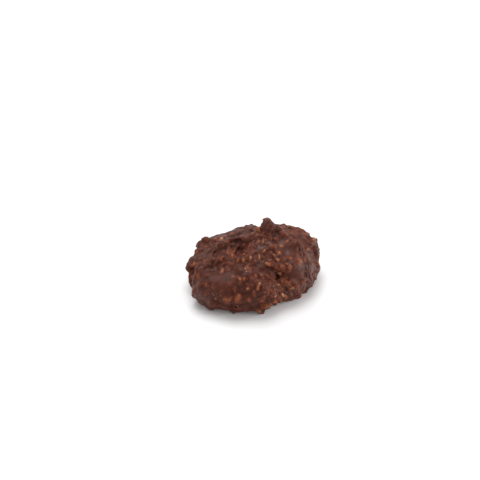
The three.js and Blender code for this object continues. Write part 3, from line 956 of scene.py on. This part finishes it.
# Colours of the coconut by its paleness, from toasted through gold to ivory.
COCONUT_COLOURS = [
    (0.1, (0.19, 0.054, 0.019, 1)),
    (0.5, (0.3, 0.094, 0.032, 1)),
    (1.0, (0.5, 0.255, 0.13, 1)),
]
SCORCH_SCALE = 2200
SCORCH_DETAIL = 2
SCORCHING = 0.7
COCONUT_ROUGHNESS = 0.55
COCONUT_SPECULAR = 0.25
FIBRE_SCALE = 5200
FIBRE_DETAIL = 2
FIBRE_STRENGTH = 0.4
FIBRE_HEIGHT = 0.06 * MM

rng = random.Random(ENDS_SEED)
mass_tree = tree_of(mass.data)
end_copies = []
end_paleness = []
end_places = []


def set_end(place, facing, across, length, width, paleness):
    """Sets one bare end into the skin, tipped up a little where it comes out."""
    along = (across - facing * across.dot(facing)).normalized()
    tilt = rng.uniform(*END_TILT)
    along = along * math.cos(tilt) + facing * math.sin(tilt)
    sunk = place - facing * END_SUNK * width * MM
    size = (length, width, width * END_DEPTH)
    twist = rng.uniform(-END_TWIST, END_TWIST)
    end_copies.append(laid_shred(sunk, along, facing, size, END_ROUGH, rng, twist=twist))
    end_paleness.append(paleness)
    end_places.append(place)


for x, y, length, width, turn, paleness in SEEN_ENDS:
    place, facing = seen_at(mass_tree, x, y)
    turned = picture_right * math.cos(math.radians(turn)) + picture_up * math.sin(math.radians(turn))
    set_end(place, facing, turned, length, width * END_WIDER, paleness)

points = points_of(mass.data)
normals = normals_of(mass.data)
ripe = (thin * bare_at > BARE_ENOUGH) & (crest_at > 0) & (points[:, 2] > END_LOWEST)
ripe_numbers = np.nonzero(ripe)[0].tolist()
rng.shuffle(ripe_numbers)
for number in ripe_numbers:
    place = Vector(points[number])
    facing = Vector(normals[number])
    if min((place - other).length for other in end_places) < END_APART:
        continue
    across = any_way(rng)
    length = rng.uniform(*END_LENGTH)
    width = rng.uniform(*END_WIDTH)
    set_end(place, facing, across, length, width, rng.random() ** 2 * END_PALENESS)
    if len(end_places) >= len(SEEN_ENDS) + STREWN_ENDS:
        break

ends = joined("bare_coconut", end_copies)
ends_tree = tree_of(ends.data)
halo = np.zeros(len(points))
for number, point in enumerate(points):
    distance = ends_tree.find_nearest(Vector(point), HALO)[3]
    if distance is not None:
        halo[number] = HALO_STRENGTH * (1 - distance / HALO)
paint(mass, "thin", np.maximum(thin * bare_at, np.maximum(patchy, halo)))
paint(ends, "pale", np.repeat(end_paleness, len(shred_points)))
select_only(ends)
bpy.ops.object.shade_smooth()

toasted = material_of("toasted_coconut_flesh")
scorch = speckles(toasted, SCORCH_SCALE, SCORCH_DETAIL)
fibres = speckles(toasted, FIBRE_SCALE, FIBRE_DETAIL)
toast = worked_out(toasted, "MULTIPLY_ADD", scorch, SCORCHING, -SCORCHING / 2)
shade = worked_out(toasted, "ADD", painted(toasted, "pale"), toast)
give(toasted, "Base Color", coloured(toasted, shade, COCONUT_COLOURS))
give(toasted, "Roughness", COCONUT_ROUGHNESS)
give(toasted, "Specular IOR Level", COCONUT_SPECULAR)
give(toasted, "Normal", roughened(toasted, fibres, FIBRE_STRENGTH, FIBRE_HEIGHT))
ends.data.materials.append(toasted)
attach(ends, "root")


# Crumbs
# Dust and chips of the toasted coconut that fell on the chocolate before it set, most of them low at the
# front. Each is a tiny copy of the strip, sunk a little in the skin.
CRUMBS_SEED = 3
CRUMBS_STREWN = 160
CRUMBS_LOWEST = 0.3 * MM
# Where most of them lie: a pixel of the photograph, how far they spread in mm and how many.
CRUMB_SPOTS = [
    (290, 289, 3.6, 60), (281, 294, 2.8, 30), (300, 289, 2.4, 20), (270, 284, 4.0, 20),
    (276, 262, 5.0, 16), (213, 297, 4.4, 34), (201, 292, 2.8, 16), (234, 303, 4.4, 18),
    (250, 270, 6.0, 16), (268, 246, 4.4, 16), (222, 240, 3.0, 6), (297, 236, 4.4, 12),
    (262, 304, 3.4, 14),
]
# Their sizes in mm, and the rest in shares of it.
CRUMB_SIZE = (0.16, 0.5)
CRUMB_SMALLER = (0.6, 1)
CRUMB_LENGTH = (1.0, 1.7)
CRUMB_DEPTH = (0.5, 0.9)
CRUMB_SUNK = 0.25
CRUMB_ROUGH = 0.12
CRUMB_DARKER = 1.8
CRUMB_PALENESS = 0.9

rng = random.Random(CRUMBS_SEED)
crumb_places = []
for x, y, spread, count in CRUMB_SPOTS:
    for _ in range(count):
        right = rng.gauss(0, spread / 2 * PIXELS_PER_MM)
        down = rng.gauss(0, spread / 2 * PIXELS_PER_MM)
        place, facing, _, _ = mass_tree.ray_cast(eye, ray_through(x + right, y + down))
        if place is not None:
            crumb_places.append((place, facing))
for number in rng.choices(range(len(points)), k=CRUMBS_STREWN):
    if points[number][2] > CRUMBS_LOWEST:
        crumb_places.append((Vector(points[number]), Vector(normals[number])))

crumb_copies = []
crumb_paleness = []
for place, facing in crumb_places:
    size = rng.uniform(*CRUMB_SIZE) * rng.uniform(*CRUMB_SMALLER)
    across = any_way(rng)
    sizes = (size * rng.uniform(*CRUMB_LENGTH), size, size * rng.uniform(*CRUMB_DEPTH))
    middle = place - facing * CRUMB_SUNK * size * MM
    crumb_copies.append(laid_shred(middle, across.cross(facing), facing, sizes, CRUMB_ROUGH, rng))
    crumb_paleness.append(rng.random() ** CRUMB_DARKER * CRUMB_PALENESS)
crumbs = joined("coconut_crumbs", crumb_copies)
paint(crumbs, "pale", np.repeat(crumb_paleness, len(shred_points)))
select_only(crumbs)
bpy.ops.object.shade_smooth()
crumbs.data.materials.append(toasted)
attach(crumbs, "root")


# Floor and light
# A flat white floor under a light tent that is brighter behind, with a broad soft lamp above and behind, so
# the shadow falls to the front, and two weaker low lamps at the right and at the left in front.
FLOOR_SIZE = 8.0
FLOOR_DROP = 0.02 * MM
PAPER_WHITE = (0.9, 0.9, 0.9, 1)
PAPER_ROUGHNESS = 0.9
TENT_WHITE = (1, 1, 1, 1)
TENT_LEVEL = 0.5
TENT_SIDE = (-0.18, 0.3, 0)
# Place and size in metres, and power in watts.
LAMPS = {
    "overhead_lamp": ((-0.06, 0.2, 0.47), 0.42, 2.33),
    "right_lamp": ((0.47, -0.02, 0.13), 0.28, 1.8),
    "front_lamp": ((-0.28, -0.42, 0.12), 0.3, 0.7),
}
LAMPS_AIM = (0, 0, 0.01)

bpy.ops.object.select_all(action="DESELECT")
bpy.ops.mesh.primitive_plane_add(size=FLOOR_SIZE, location=(0, 0, -FLOOR_DROP))
floor = bpy.context.object
floor.name = "white_floor"
bpy.ops.object.transform_apply(location=True, rotation=True, scale=True)
paper = material_of("white_paper")
give(paper, "Base Color", PAPER_WHITE)
give(paper, "Roughness", PAPER_ROUGHNESS)
floor.data.materials.append(paper)

world = bpy.data.worlds.new("light_tent")
bpy.context.scene.world = world
world.use_nodes = True
tent = world.node_tree.nodes
direction = tent.new("ShaderNodeTexCoord")
side = tent.new("ShaderNodeVectorMath")
side.operation = "DOT_PRODUCT"
side.inputs[1].default_value = TENT_SIDE
world.node_tree.links.new(direction.outputs["Generated"], side.inputs[0])
level = tent.new("ShaderNodeMath")
level.operation = "ADD"
level.inputs[1].default_value = TENT_LEVEL
world.node_tree.links.new(side.outputs["Value"], level.inputs[0])
world.node_tree.links.new(level.outputs["Value"], tent["Background"].inputs["Strength"])
tent["Background"].inputs["Color"].default_value = TENT_WHITE

for name, (place, size, power) in LAMPS.items():
    shining = Vector(LAMPS_AIM) - Vector(place)
    turn = shining.to_track_quat("-Z", "Y").to_euler()
    bpy.ops.object.light_add(type="AREA", location=place, rotation=turn)
    light = bpy.context.object
    light.name = name
    light.data.size = size
    light.data.energy = power
bpy.context.scene.view_settings.view_transform = "Standard"
